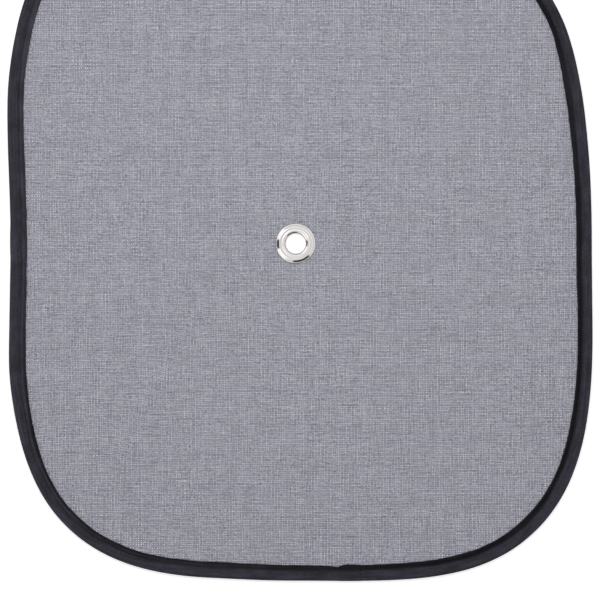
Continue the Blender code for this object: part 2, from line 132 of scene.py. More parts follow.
def cloth_shift(x, y):
    """How far the cloth's threads are pulled from an even grid, in x, y and z. The frame and the eyelet
    hold it still, and between them it has faint streaks, a ripple and the crease."""
    streaks = np.sin(2 * np.pi * x / STREAK_WIDTH + 1.3 * np.sin(y / STREAK_BEND))
    bands = np.sin(2 * np.pi * y / BAND_WIDTH + 1.1 * np.sin(x / BAND_BEND))
    dx = STREAK_SHIFT * streaks + DRIFT_SHIFT * np.sin(y / (31 * MM) + x / (90 * MM))
    dy = STREAK_SHIFT * bands + DRIFT_SHIFT * np.sin(x / (37 * MM) - y / (80 * MM))
    crease_run = np.subtract(CREASE_TO, CREASE_FROM)
    crease_length = float(np.hypot(*crease_run))
    out_x, out_y = crease_run / crease_length
    from_x, from_y = x - CREASE_FROM[0], y - CREASE_FROM[1]
    run = (from_x * out_x + from_y * out_y) / crease_length
    side = from_x * -out_y + from_y * out_x + CREASE_BOW * np.sin(np.pi * np.clip(run, 0, 1))
    reach = np.clip(3 * run, 0, 1) * np.clip(3 * (1.05 - run), 0, 1)
    pull = CREASE_PULL * reach * np.tanh(side / CREASE_HALF_WIDTH)
    pull *= np.exp(-np.abs(side) / CREASE_PULL_REACH)
    dx, dy = dx + pull * out_x, dy + pull * out_y
    hold_x = np.clip(1 - (x / shade_half_width) ** 4, 0, 1)
    hold_y = np.clip(1 - (y / shade_half_height) ** 4, 0, 1)
    frame_hold = hold_x * hold_y
    from_eyelet = np.hypot(x - eyelet_x, y - eyelet_y)
    eyelet_hold = np.clip((from_eyelet - PUNCHED_RADIUS) / EYELET_HOLD_REACH, 0, 1)
    ripple = np.sin(x / RIPPLE_WIDTH + 1.8 * np.sin(y / RIPPLE_BEND)) * np.sin(y / RIPPLE_LENGTH + 0.7)
    crease = reach * np.exp(-((side / CREASE_HALF_WIDTH) ** 2))
    dz = (RIPPLE_HEIGHT * ripple + CREASE_HEIGHT * crease) * frame_hold * eyelet_hold
    hold = np.clip(frame_hold * 4, 0, 1)
    return dx * hold, dy * hold, dz


def thread_lines(spacing, along_y, lift, pairing):
    """Edges that run down the middle of each thread, as one mesh."""
    reach = shade_half_width if along_y else shade_half_height
    count = int(reach / spacing)
    points, edges = [], []
    for number in range(-count, count + 1):
        position = spacing * (number + SPACING_JITTER * random_threads.standard_normal())
        position += pairing if number % 2 else -pairing
        lifted = lift if number % 2 else -lift
        for start, end in spans(position, along_y):
            run = np.linspace(start, end, max(3, round((end - start) / STATION_GAP) + 1))
            still = np.full_like(run, position)
            still += STATION_JITTER * random_threads.standard_normal(len(run))
            x, y = (still, run) if along_y else (run, still)
            dx, dy, dz = cloth_shift(x, y)
            first = len(points)
            points += np.column_stack((x + dx, y + dy, middle_height + lifted + dz)).tolist()
            edges += [(first + i, first + i + 1) for i in range(len(run) - 1)]
    mesh = bpy.data.meshes.new("thread_lines")
    mesh.from_pydata(points, edges, [])
    return mesh


def new_tree(name, sizes):
    """An empty Geometry Nodes tree with a geometry in and out, a material and named number inputs."""
    tree = bpy.data.node_groups.new(name, "GeometryNodeTree")
    tree.interface.new_socket("Geometry", in_out="INPUT", socket_type="NodeSocketGeometry")
    tree.interface.new_socket("Geometry", in_out="OUTPUT", socket_type="NodeSocketGeometry")
    for label in sizes:
        tree.interface.new_socket(label, in_out="INPUT", socket_type="NodeSocketFloat")
    tree.interface.new_socket("Material", in_out="INPUT", socket_type="NodeSocketMaterial")
    start = tree.nodes.new("NodeGroupInput")
    realize = tree.nodes.new("GeometryNodeRealizeInstances")
    paint = tree.nodes.new("GeometryNodeSetMaterial")
    finish = tree.nodes.new("NodeGroupOutput")
    tree.links.new(realize.outputs[0], paint.inputs["Geometry"])
    tree.links.new(start.outputs["Material"], paint.inputs["Material"])
    tree.links.new(paint.outputs[0], finish.inputs[0])
    return tree, start, realize


def grown(lines, tree, material, sizes):
    """Runs a tree on a mesh of lines and gives back the plain mesh that it makes."""
    host = bpy.data.objects.new("host", lines)
    bpy.context.scene.collection.objects.link(host)
    modifier = host.modifiers.new("grow", "NODES")
    modifier.node_group = tree
    for item in tree.interface.items_tree:
        if item.in_out == "INPUT" and item.name in sizes:
            modifier[item.identifier] = float(sizes[item.name])
        if item.in_out == "INPUT" and item.name == "Material":
            modifier[item.identifier] = material
    bpy.context.view_layer.update()
    evaluated = host.evaluated_get(bpy.context.evaluated_depsgraph_get())
    made = bpy.data.meshes.new_from_object(evaluated)
    bpy.data.objects.remove(host, do_unlink=True)
    return made


def plain_piece(name, mesh, material):
    """An object at the origin for a finished mesh of one material."""
    mesh.name = name
    mesh.materials.clear()
    mesh.materials.append(material)
    mesh.polygons.foreach_set("material_index", [0] * len(mesh.polygons))
    mesh.shade_smooth()
    piece = bpy.data.objects.new(name, mesh)
    bpy.context.scene.collection.objects.link(piece)
    return piece


def new_group(name, inputs, outputs):
    """An empty shader node group with its named sockets: pairs of a name and a socket type."""
    group = bpy.data.node_groups.new(name, "ShaderNodeTree")
    for label, kind in inputs:
        group.interface.new_socket(label, in_out="INPUT", socket_type="NodeSocket" + kind)
    for label, kind in outputs:
        group.interface.new_socket(label, in_out="OUTPUT", socket_type="NodeSocket" + kind)
    return group, group.nodes.new("NodeGroupInput"), group.nodes.new("NodeGroupOutput")


def spread_out(tree, low, high):
    """A node that takes the values between these two and spreads them out."""
    node = tree.nodes.new("ShaderNodeMapRange")
    node.inputs["From Min"].default_value = low
    node.inputs["From Max"].default_value = high
    return node


def uneven_dye_group():
    """Cloth colour that shifts between two dyes in soft blotches and fine flecks."""
    inputs = [("Vector", "Vector"), ("Blotch Scale", "Float"), ("Fleck Scale", "Float")]
    inputs += [("Fleck Share", "Float"), ("Fleck Stretch", "Vector"), ("Deep", "Color"), ("Faded", "Color")]
    group, start, finish = new_group("uneven_dye", inputs, [("Color", "Color"), ("Mask", "Float")])
    blotch, fleck = group.nodes.new("ShaderNodeTexNoise"), group.nodes.new("ShaderNodeTexNoise")
    blotch.inputs["Detail"].default_value = 2
    fleck.inputs["Detail"].default_value = 1
    stretch = group.nodes.new("ShaderNodeVectorMath")
    stretch.operation = "MULTIPLY"
    blend = group.nodes.new("ShaderNodeMix")
    spread = spread_out(group, 0.36, 0.64)
    colour = group.nodes.new("ShaderNodeMix")
    colour.data_type = "RGBA"
    link = group.links.new
    link(start.outputs["Vector"], blotch.inputs["Vector"])
    link(start.outputs["Vector"], stretch.inputs[0])
    link(start.outputs["Fleck Stretch"], stretch.inputs[1])
    link(stretch.outputs[0], fleck.inputs["Vector"])
    link(start.outputs["Blotch Scale"], blotch.inputs["Scale"])
    link(start.outputs["Fleck Scale"], fleck.inputs["Scale"])
    link(start.outputs["Fleck Share"], blend.inputs["Factor"])
    link(blotch.outputs["Fac"], blend.inputs["A"])
    link(fleck.outputs["Fac"], blend.inputs["B"])
    link(blend.outputs["Result"], spread.inputs["Value"])
    link(spread.outputs["Result"], colour.inputs["Factor"])
    link(start.outputs["Deep"], colour.inputs[6])
    link(start.outputs["Faded"], colour.inputs[7])
    link(colour.outputs[2], finish.inputs["Color"])
    link(spread.outputs["Result"], finish.inputs["Mask"])
    return group


def add_group(material, group, **values):
    """A copy of a shader group in a material, with its own values."""
    node = material.node_tree.nodes.new("ShaderNodeGroup")
    node.node_tree = group
    for label, value in values.items():
        node.inputs[label.replace("_", " ")].default_value = value
    return node


def new_material(name, roughness, metallic=0.0):
    """A material and its Principled shader."""
    material = bpy.data.materials.new(name)
    material.use_nodes = True
    shader = material.node_tree.nodes["Principled BSDF"]
    shader.inputs["Roughness"].default_value = roughness
    shader.inputs["Metallic"].default_value = metallic
    return material, shader


uneven_dye = uneven_dye_group()


def yarn(name, stretch, deep, faded):
    """Dyed polyester yarn whose tone shifts from blotch to blotch and in short dashes along its length."""
    material, shader = new_material(name, 0.6)
    shader.inputs["Specular IOR Level"].default_value = 0.3
    link, place = material.node_tree.links.new, material.node_tree.nodes.new("ShaderNodeTexCoord")
    dye = add_group(
        material,
        uneven_dye,
        Blotch_Scale=160.0,
        Fleck_Scale=1000.0,
        Fleck_Share=0.82,
        Fleck_Stretch=stretch,
        Deep=(*deep, 1),
        Faded=(*faded, 1),
    )
    link(place.outputs["Object"], dye.inputs["Vector"])
    link(dye.outputs["Color"], shader.inputs["Base Color"])
    return material


warp_yarn = yarn("warp_yarn", (1.3, 0.55, 0.9), (0.215, 0.214, 0.265), (0.485, 0.482, 0.565))
weft_yarn = yarn("weft_yarn", (0.55, 1.3, 0.9), (0.205, 0.204, 0.255), (0.46, 0.457, 0.535))


def thread_tree():
    """Gives each line the flat section of a thread, thicker and thinner along its length."""
    tree, start, realize = new_tree("woven_threads", ["Width", "Height", "Slub Growth"])
    link, new = tree.links.new, tree.nodes.new
    to_curve = new("GeometryNodeMeshToCurve")
    upright = new("GeometryNodeSetCurveNormal")
    upright.mode = "Z_UP"
    slub = new("FunctionNodeRandomValue")
    slub.inputs["Seed"].default_value = 11
    slub.inputs[2].default_value, slub.inputs[3].default_value = -1.0, 1.0
    scaled = new("ShaderNodeMath")
    scaled.operation = "MULTIPLY_ADD"
    scaled.inputs[2].default_value = 1.0
    radius = new("GeometryNodeSetCurveRadius")
    section = new("GeometryNodeCurvePrimitiveQuadrilateral")
    sweep = new("GeometryNodeCurveToMesh")
    sweep.inputs["Fill Caps"].default_value = True
    link(start.outputs["Geometry"], to_curve.inputs["Mesh"])
    link(to_curve.outputs["Curve"], upright.inputs["Curve"])
    link(slub.outputs[1], scaled.inputs[0])
    link(start.outputs["Slub Growth"], scaled.inputs[1])
    link(upright.outputs["Curve"], radius.inputs["Curve"])
    link(scaled.outputs[0], radius.inputs["Radius"])
    link(start.outputs["Width"], section.inputs["Width"])
    link(start.outputs["Height"], section.inputs["Height"])
    link(radius.outputs["Curve"], sweep.inputs["Curve"])
    link(section.outputs["Curve"], sweep.inputs["Profile Curve"])
    link(sweep.outputs["Mesh"], realize.inputs[0])
    return tree


woven_threads = thread_tree()
for name, spacing, along_y, lift, pairing, (width, height), colour in (
    ("mesh_panel_weft", WEFT_SPACING, False, WEFT_LIFT, WEFT_PAIRING, WEFT_THREAD, weft_yarn),
    ("mesh_panel_warp", WARP_SPACING, True, 0.0, 0.0, WARP_THREAD, warp_yarn),
):
    lines = thread_lines(spacing, along_y, lift, pairing)
    sizes = {"Width": width, "Height": height, "Slub Growth": SLUB_GROWTH}
    threads = plain_piece(name, grown(lines, woven_threads, colour, sizes), colour)
    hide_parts("mesh_panel")
    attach(threads, "root")

# Hoop wire and ferrule: one length of hardened spring wire bent to the outline, its two ends held end to
# end in a zinc-plated sleeve that is crimped flat. Both lie loose in the binding's fold, out of sight.


def handling_marks_group():
    """Fine wiped scratches and soft smudges of bare metal, as a roughness and a height."""
    inputs = [("Vector", "Vector"), ("Scratch Scale", "Float"), ("Low", "Float"), ("High", "Float")]
    group, start, finish = new_group("handling_marks", inputs, [("Roughness", "Float"), ("Height", "Float")])
    stretch = group.nodes.new("ShaderNodeMapping")
    stretch.inputs["Scale"].default_value = (1.0, 6.0, 1.0)
    scratch, smudge = group.nodes.new("ShaderNodeTexNoise"), group.nodes.new("ShaderNodeTexNoise")
    scratch.inputs["Detail"].default_value = 4
    smudge.inputs["Scale"].default_value = 160.0
    blend = group.nodes.new("ShaderNodeMix")
    blend.inputs["Factor"].default_value = 0.5
    spread = spread_out(group, 0.3, 0.7)
    link = group.links.new
    link(start.outputs["Vector"], stretch.inputs["Vector"])
    link(stretch.outputs["Vector"], scratch.inputs["Vector"])
    link(start.outputs["Vector"], smudge.inputs["Vector"])
    link(start.outputs["Scratch Scale"], scratch.inputs["Scale"])
    link(scratch.outputs["Fac"], blend.inputs["A"])
    link(smudge.outputs["Fac"], blend.inputs["B"])
    link(blend.outputs["Result"], spread.inputs["Value"])
    link(start.outputs["Low"], spread.inputs["To Min"])
    link(start.outputs["High"], spread.inputs["To Max"])
    link(spread.outputs["Result"], finish.inputs["Roughness"])
    link(scratch.outputs["Fac"], finish.inputs["Height"])
    return group


handling_marks = handling_marks_group()


def relief(material, heights, strength, depth):
    """Lets a pattern of heights show as relief on a material's surface."""
    nodes, link = material.node_tree.nodes, material.node_tree.links.new
    bump = nodes.new("ShaderNodeBump")
    bump.inputs["Strength"].default_value = strength
    bump.inputs["Distance"].default_value = depth
    link(heights, bump.inputs["Height"])
    link(bump.outputs["Normal"], nodes["Principled BSDF"].inputs["Normal"])


def bare_metal(name, colour, low, high, scratch_scale):
    """Metal of one colour with wiped marks in its gloss."""
    material, shader = new_material(name, low, metallic=1.0)
    shader.inputs["Base Color"].default_value = (*colour, 1)
    link, new = material.node_tree.links.new, material.node_tree.nodes.new
    place = new("ShaderNodeTexCoord")
    marks = add_group(material, handling_marks, Scratch_Scale=scratch_scale, Low=low, High=high)
    link(place.outputs["Object"], marks.inputs["Vector"])
    link(marks.outputs["Roughness"], shader.inputs["Roughness"])
    relief(material, marks.outputs["Height"], 0.12, 0.02 * MM)
    return material


def repaint(node, material):
    """Gives a CAD node's object a finished material."""
    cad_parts[node].data.materials.clear()
    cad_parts[node].data.materials.append(material)


repaint("hoop_wire", bare_metal("spring_steel_wire", (0.42, 0.42, 0.44), 0.22, 0.4, 900.0))
repaint("wire_ferrule", bare_metal("zinc_plated_sleeve", (0.6, 0.6, 0.61), 0.3, 0.5, 700.0))

# Edge binding: one black polyester tape folded over the wire and the panel's edge all round. It is puffed
# up over the wire, pulled down along the seam and flat again at its lip. It was laid by hand, so its width
# wanders, and its tail is lapped over its start near the middle of the bottom side.
STITCH_PITCH = 2.7 * MM
STATIONS_PER_STITCH = 4
TAPE_WALL = 0.5 * MM
FOLD_ROUNDNESS = 0.85
# How far in from the outer edge the places of the tape's section lie.
FOLD_INSIDE_TURN = 0.9 * MM
FOOT_FROM = 1.8 * MM
FOOT_INSIDE_FROM = 2.1 * MM
CROWN_INSET = 3.2 * MM
FOOT_TO = 4.6 * MM
# How far the section's inside stays short of the lip and of the seam.
INSIDE_LIP_GAP = 0.1 * MM
INSIDE_SEAM_GAP = 0.9 * MM
# Heights from the panel's middle, the crown's drop below the fold's full height, and the seam's pucker.
LIP_UNDERSIDE = 0.6 * MM
SEAM_HEIGHT = 1.08 * MM
CROWN_DROP = 0.03 * MM
PUCKER_HEIGHT = 0.10 * MM
# How each of these wanders: its longest wave, its shortest wave and its size.
SEAM_WANDER = (160 * MM, 25 * MM, 0.12 * MM)
LIP_WANDER = (90 * MM, 9 * MM, 0.10 * MM)
PUFF_WANDER = (60 * MM, 5 * MM, 0.09 * MM)
WANDER_WAVES = 14
WANDER_DIVISOR = 3.2
LAP_FROM_X = 25.5 * MM
LAP_TO_X = 39.5 * MM
LAP_START_EASE = 0.8 * MM
LAP_END_EASE = 0.15 * MM
LAP_STEP = 0.2 * MM
LAP_BULGE_SHARE = 0.2
LAP_TUCK = 1.2 * MM
LAP_TUCK_REACH = 16 * MM
LAP_RISE = 3.5 * MM
FERRULE_BULGE = 0.25 * MM
FERRULE_REACH = 9 * MM
TAPE_LIE = (
    # degrees round the outline from the right side's middle, the edge's shift inwards and the tape's width
    # in millimetres, the seam's share of that width, and the painted light on the flange inside the seam
    (0, -0.1, 10.15, 0.72, 0.05),
    (10, 1.25, 10.75, 0.77, 0.1),
    (20, 1.1, 10.85, 0.70, 0.15),
    (30, -0.1, 9.5, 0.75, 0.0),
    (60, 0.0, 9.8, 0.74, 0.1),
    (120, 0.0, 9.9, 0.70, 0.5),
    (150, 0.0, 10.1, 0.65, 1.0),
    (160, -0.1, 10.5, 0.64, 1.0),
    (170, -1.15, 10.4, 0.71, 0.9),
    (180, 0.25, 10.8, 0.68, 0.75),
    (185, 0.5, 10.85, 0.67, 0.7),
    (190, -0.8, 11.25, 0.66, 0.6),
    (200, -0.1, 10.3, 0.63, 0.5),
    (210, 0.15, 9.9, 0.63, 0.5),
    (220, 0.3, 9.7, 0.66, 0.45),
    (230, 0.6, 9.95, 0.68, 0.35),
    (240, 0.5, 10.0, 0.71, 0.25),
    (250, 0.2, 10.0, 0.70, 0.25),
    (260, 0.1, 10.6, 0.70, 0.25),
    (266, 0.35, 10.6, 0.71, 0.2),
    (270, -1.0, 10.4, 0.73, 0.1),
    (280, -1.1, 10.8, 0.75, 0.0),
    (290, -0.6, 10.95, 0.73, 0.0),
    (300, 0.15, 10.9, 0.73, 0.0),
    (310, 0.7, 11.0, 0.73, 0.05),
    (320, 0.3, 10.9, 0.75, 0.0),
    (330, -0.55, 10.5, 0.76, 0.0),
    (340, -1.3, 10.4, 0.77, 0.0),
    (350, -1.45, 9.9, 0.76, 0.0),
    (355, -1.05, 9.65, 0.76, 0.0),
    (358, -0.45, 9.8, 0.74, 0.0),
)
TAPE_EASING = 11
tube_half = middle_height
random_tape = np.random.default_rng(19)


def wander(longest, shortest, size):
    """A smooth closed wave round the outline, made of waves between these two lengths."""
    total = np.zeros_like(station_share)
    low, high = max(1, int(outline_length / longest)), int(outline_length / shortest)
    for turns in np.unique(np.geomspace(low, high, WANDER_WAVES).astype(int)):
        phase = random_tape.uniform(0, 2 * np.pi)
        total += np.sin(2 * np.pi * turns * station_share + phase) * random_tape.uniform(0.5, 1.0)
    return size * total / WANDER_DIVISOR


def smooth_step(value, low, high):
    """Rises from 0 at low to 1 at high without a corner."""
    share = np.clip((value - low) / (high - low), 0, 1)
    return share * share * (3 - 2 * share)


dense_edge, dense_inward = outline_with_normals(4 * OUTLINE_SAMPLES)
steps = np.linalg.norm(np.roll(dense_edge, -1, axis=0) - dense_edge, axis=1)
dense_along = np.concatenate(([0], np.cumsum(steps)))
outline_length = dense_along[-1]
stitch_count = round(outline_length / STITCH_PITCH)
station_count = stitch_count * STATIONS_PER_STITCH


def at_stations(along):
    """Edge points and inward normals at these distances along the outline."""
    closed_edge = np.vstack((dense_edge, dense_edge[:1]))
    closed_inward = np.vstack((dense_inward, dense_inward[:1]))
    edge = np.column_stack([np.interp(along, dense_along, closed_edge[:, i]) for i in (0, 1)])
    inward = np.column_stack([np.interp(along, dense_along, closed_inward[:, i]) for i in (0, 1)])
    return edge, inward / np.linalg.norm(inward, axis=1)[:, None]


lap_ends = []
bottom_half = np.flatnonzero(dense_edge[:, 1] < 0)
for lap_x in (LAP_FROM_X, LAP_TO_X):
    nearest = bottom_half[np.argmin(np.abs(dense_edge[bottom_half, 0] - lap_x))]
    lap_ends.append(dense_along[nearest])
station_along = np.linspace(0, outline_length, station_count, endpoint=False)
# Extra stations keep the steps at both ends of the lap crisp.
extra = [end + offset * MM for end in lap_ends for offset in (-0.12, -0.04, 0.04, 0.12)]
station_along = np.sort(np.concatenate((station_along, extra)))
station_share = station_along / outline_length
station_edge, station_inward = at_stations(station_along)


def laid(column):
    """One column of the table of how the tape lies, at every station, eased between its rows."""
    rows = np.array(TAPE_LIE)
    degrees = np.arange(-30, 391)
    window = np.hanning(TAPE_EASING) / np.hanning(TAPE_EASING).sum()
    eased = np.convolve(np.interp(degrees, rows[:, 0], rows[:, column], period=360), window, mode="same")
    turn = np.linspace(0, 360, len(dense_edge) + 1)
    return np.interp(np.interp(station_along, dense_along, turn), degrees, eased)


station_edge += station_inward * (MM * laid(1))[:, None]
in_lap = smooth_step(station_along, lap_ends[0] - LAP_START_EASE, lap_ends[0] + LAP_START_EASE)
in_lap -= smooth_step(station_along, lap_ends[1] - LAP_END_EASE, lap_ends[1] + LAP_END_EASE)
before_lap = (lap_ends[0] - station_along) % outline_length
past_lap = (station_along - lap_ends[0]) % outline_length
tucked = np.maximum(np.exp(-before_lap / LAP_TUCK_REACH), np.clip(1 - past_lap / LAP_RISE, 0, 1))
seam_inset = MM * laid(2) * laid(3) + wander(*SEAM_WANDER)
lip_inset = MM * laid(2) + wander(*LIP_WANDER)
lip_inset += LAP_STEP * in_lap - LAP_TUCK * tucked
# How much painted light falls on the flange inside the seam, side by side round the outline.
flange_painted_light = laid(4)
bulge = FERRULE_BULGE * np.exp(-((station_edge[:, 1] / FERRULE_REACH) ** 4)) * (station_edge[:, 0] < 0)
puff = wander(*PUFF_WANDER)
pucker = PUCKER_HEIGHT * np.cos(2 * np.pi * station_along / (outline_length / stitch_count))


def section_rows():
    """Rows of (inset, height) round the section of the folded tape, each row with all stations."""
    rows = []
    ones = np.ones_like(station_share)
    lap = TAPE_WALL * in_lap
    crown = tube_half - CROWN_DROP + puff

    def fold_inset(angle):
        """How far in the outside of the fold lies at this angle above or below its edge."""
        outward = (bulge + LAP_BULGE_SHARE * lap) * math.cos(angle)
        return CROWN_INSET * (1 - math.cos(angle) ** FOLD_ROUNDNESS) - outward

    for angle in np.radians((0, 14, 28, 42, 56, 70, 84)):
        height = crown * math.sin(angle) ** FOLD_ROUNDNESS + lap * math.sin(angle)
        rows.append((fold_inset(angle), height))
    for share in (0.12, 0.3, 0.48, 0.66, 0.82, 0.94, 1.0):
        inset = CROWN_INSET + (seam_inset - CROWN_INSET) * share
        ease = 0.5 - 0.5 * math.cos(math.pi * share**1.25)
        height = crown * (1 - ease) + (SEAM_HEIGHT + pucker) * ease + lap
        rows.append((inset, height))
    flange = lip_inset - seam_inset
    for share, rise in ((0.14, 0.07), (0.35, 0.2), (0.65, 0.19), (0.9, 0.08), (0.985, -0.06)):
        height = SEAM_HEIGHT + rise * MM + lap + (0.5 * pucker + 0.5 * puff) * (1 - share)
        rows.append((seam_inset + flange * share, height))
    rows.append((lip_inset, (LIP_UNDERSIDE + 0.2 * MM) * ones + 0.6 * lap))
    fold_inside = tube_half - TAPE_WALL
    inside = (
        (lip_inset - INSIDE_LIP_GAP, LIP_UNDERSIDE + 0.02 * MM),
        (seam_inset - INSIDE_SEAM_GAP, LIP_UNDERSIDE),
        (FOOT_TO, fold_inside - 0.1 * MM),
        (FOOT_INSIDE_FROM, fold_inside - 0.05 * MM),
        (FOLD_INSIDE_TURN, 0.68 * fold_inside),
        (TAPE_WALL, 0.0),
        (FOLD_INSIDE_TURN, -0.68 * fold_inside),
        (FOOT_INSIDE_FROM, -fold_inside),
        (FOOT_TO, -fold_inside),
        (seam_inset - INSIDE_SEAM_GAP, -LIP_UNDERSIDE),
        (lip_inset - INSIDE_LIP_GAP, -LIP_UNDERSIDE - 0.02 * MM),
    )
    rows += [(inset * ones, height * ones) for inset, height in inside]
    rows.append((lip_inset, -(LIP_UNDERSIDE + 0.25 * MM) * ones))
    for share, rise in ((0.9, 0.08), (0.45, 0.2), (0.0, 0.0)):
        height = SEAM_HEIGHT + rise * MM + pucker * (1 - share)
        rows.append((seam_inset + flange * share, -height))
    rows.append((FOOT_TO + (seam_inset - FOOT_TO) * 0.6, -(tube_half * 0.42 + SEAM_HEIGHT * 0.58) * ones))
    rows.append((FOOT_TO * ones, -tube_half * ones))
    rows.append((FOOT_FROM * ones, -tube_half * ones))
    for angle in np.radians((48, 30, 14)):
        rows.append((fold_inset(angle), -tube_half * math.sin(angle) ** FOLD_ROUNDNESS * ones))
    return rows


def ring_mesh(name, grid):
    """A mesh from rows and columns of points that close on themselves both ways."""
    row_count, column_count = grid.shape[:2]
    row, column = np.indices((row_count, column_count))
    next_row, next_column = (row + 1) % row_count, (column + 1) % column_count
    corners = ((row, column), (next_row, column), (next_row, next_column), (row, next_column))
    faces = np.stack([r * column_count + c for r, c in corners], axis=-1).reshape(-1, 4)
    mesh = bpy.data.meshes.new(name)
    mesh.from_pydata(grid.reshape(-1, 3).tolist(), [], faces.tolist())
    return mesh


def sweep_rows(name, rows, material):
    """A closed ring from rows of stations, with a UV map of metres along and across the tape."""
    grid = np.empty((len(rows), len(station_share), 3))
    for number, (inset, height) in enumerate(rows):
        grid[number, :, :2] = station_edge + station_inward * inset[:, None]
        grid[number, :, 2] = middle_height + height
    mesh = ring_mesh(name, grid)
    row, column = np.indices(grid.shape[:2])
    across = np.concatenate(([0], np.cumsum(np.linalg.norm(np.diff(grid[:, 0], axis=0), axis=1))))
    next_along = np.append(station_along[1:], outline_length)
    next_across = np.append(across[1:], across[-1] + np.linalg.norm(grid[0, 0] - grid[-1, 0]))
    u_here, u_next = station_along[column], next_along[column]
    v_here, v_next = across[row], next_across[row]
    corners = ((u_here, v_here), (u_here, v_next), (u_next, v_next), (u_next, v_here))
    uv = np.stack([np.stack(corner, -1) for corner in corners], axis=2)
    layer = mesh.uv_layers.new(name="tape")
    layer.uv.foreach_set("vector", uv.reshape(-1).astype(np.float32))
    from_seam = np.array([inset - seam_inset for inset, height in rows])
    lit = np.broadcast_to(flange_painted_light, from_seam.shape)
    for label, values in (("from_seam", from_seam), ("flange_painted_light", lit)):
        attribute = mesh.attributes.new(label, "FLOAT", "POINT")
        attribute.data.foreach_set("value", values.reshape(-1).astype(np.float32))
    return plain_piece(name, mesh, material)


def ribbed_weave_group():
    """Lengthwise ribs crossed by a finer pick, as a height in the tape's own metres along and across."""
    inputs = [("Vector", "Vector"), ("Rib Pitch", "Float"), ("Pick Pitch", "Float")]
    group, start, finish = new_group("ribbed_weave", inputs, [("Height", "Float"), ("Streak", "Float")])
    link, new = group.links.new, group.nodes.new
    split = new("ShaderNodeSeparateXYZ")
    link(start.outputs["Vector"], split.inputs["Vector"])

    def wave(source, pitch):
        """A sine of this coordinate with this pitch, from 0 to 1."""
        turns, angle, sine, lifted = (new("ShaderNodeMath") for _ in range(4))
        turns.operation, angle.operation, sine.operation = "DIVIDE", "MULTIPLY", "SINE"
        lifted.operation = "MULTIPLY_ADD"
        angle.inputs[1].default_value = 2 * math.pi
        lifted.inputs[1].default_value, lifted.inputs[2].default_value = 0.5, 0.5
        link(source, turns.inputs[0])
        link(pitch, turns.inputs[1])
        link(turns.outputs[0], angle.inputs[0])
        link(angle.outputs[0], sine.inputs[0])
        link(sine.outputs[0], lifted.inputs[0])
        return lifted.outputs[0]

    ribs = wave(split.outputs["Y"], start.outputs["Rib Pitch"])
    picks = wave(split.outputs["X"], start.outputs["Pick Pitch"])
    crossed, height = new("ShaderNodeMath"), new("ShaderNodeMath")
    crossed.operation, height.operation = "MULTIPLY", "MULTIPLY_ADD"
    height.inputs[1].default_value = 0.6
    link(ribs, crossed.inputs[0])
    link(picks, crossed.inputs[1])
    link(ribs, height.inputs[0])
    link(crossed.outputs[0], height.inputs[2])
    stretch, streak = new("ShaderNodeMapping"), new("ShaderNodeTexNoise")
    stretch.inputs["Scale"].default_value = (0.08, 1.0, 1.0)
    streak.inputs["Scale"].default_value = 620.0
    link(start.outputs["Vector"], stretch.inputs["Vector"])
    link(stretch.outputs["Vector"], streak.inputs["Vector"])
    link(height.outputs[0], finish.inputs["Height"])
    link(streak.outputs["Fac"], finish.inputs["Streak"])
    return group


def ramp(material, source, stops):
    """A colour ramp fed by a value, with stops of (place, colour)."""
    node = material.node_tree.nodes.new("ShaderNodeValToRGB")
    points = node.color_ramp.elements
    while len(points) < len(stops):
        points.new(0.5)
    for point, (place, colour) in zip(points, stops):
        point.position = place
        point.color = (*colour, 1)
    material.node_tree.links.new(source, node.inputs["Fac"])
    return node


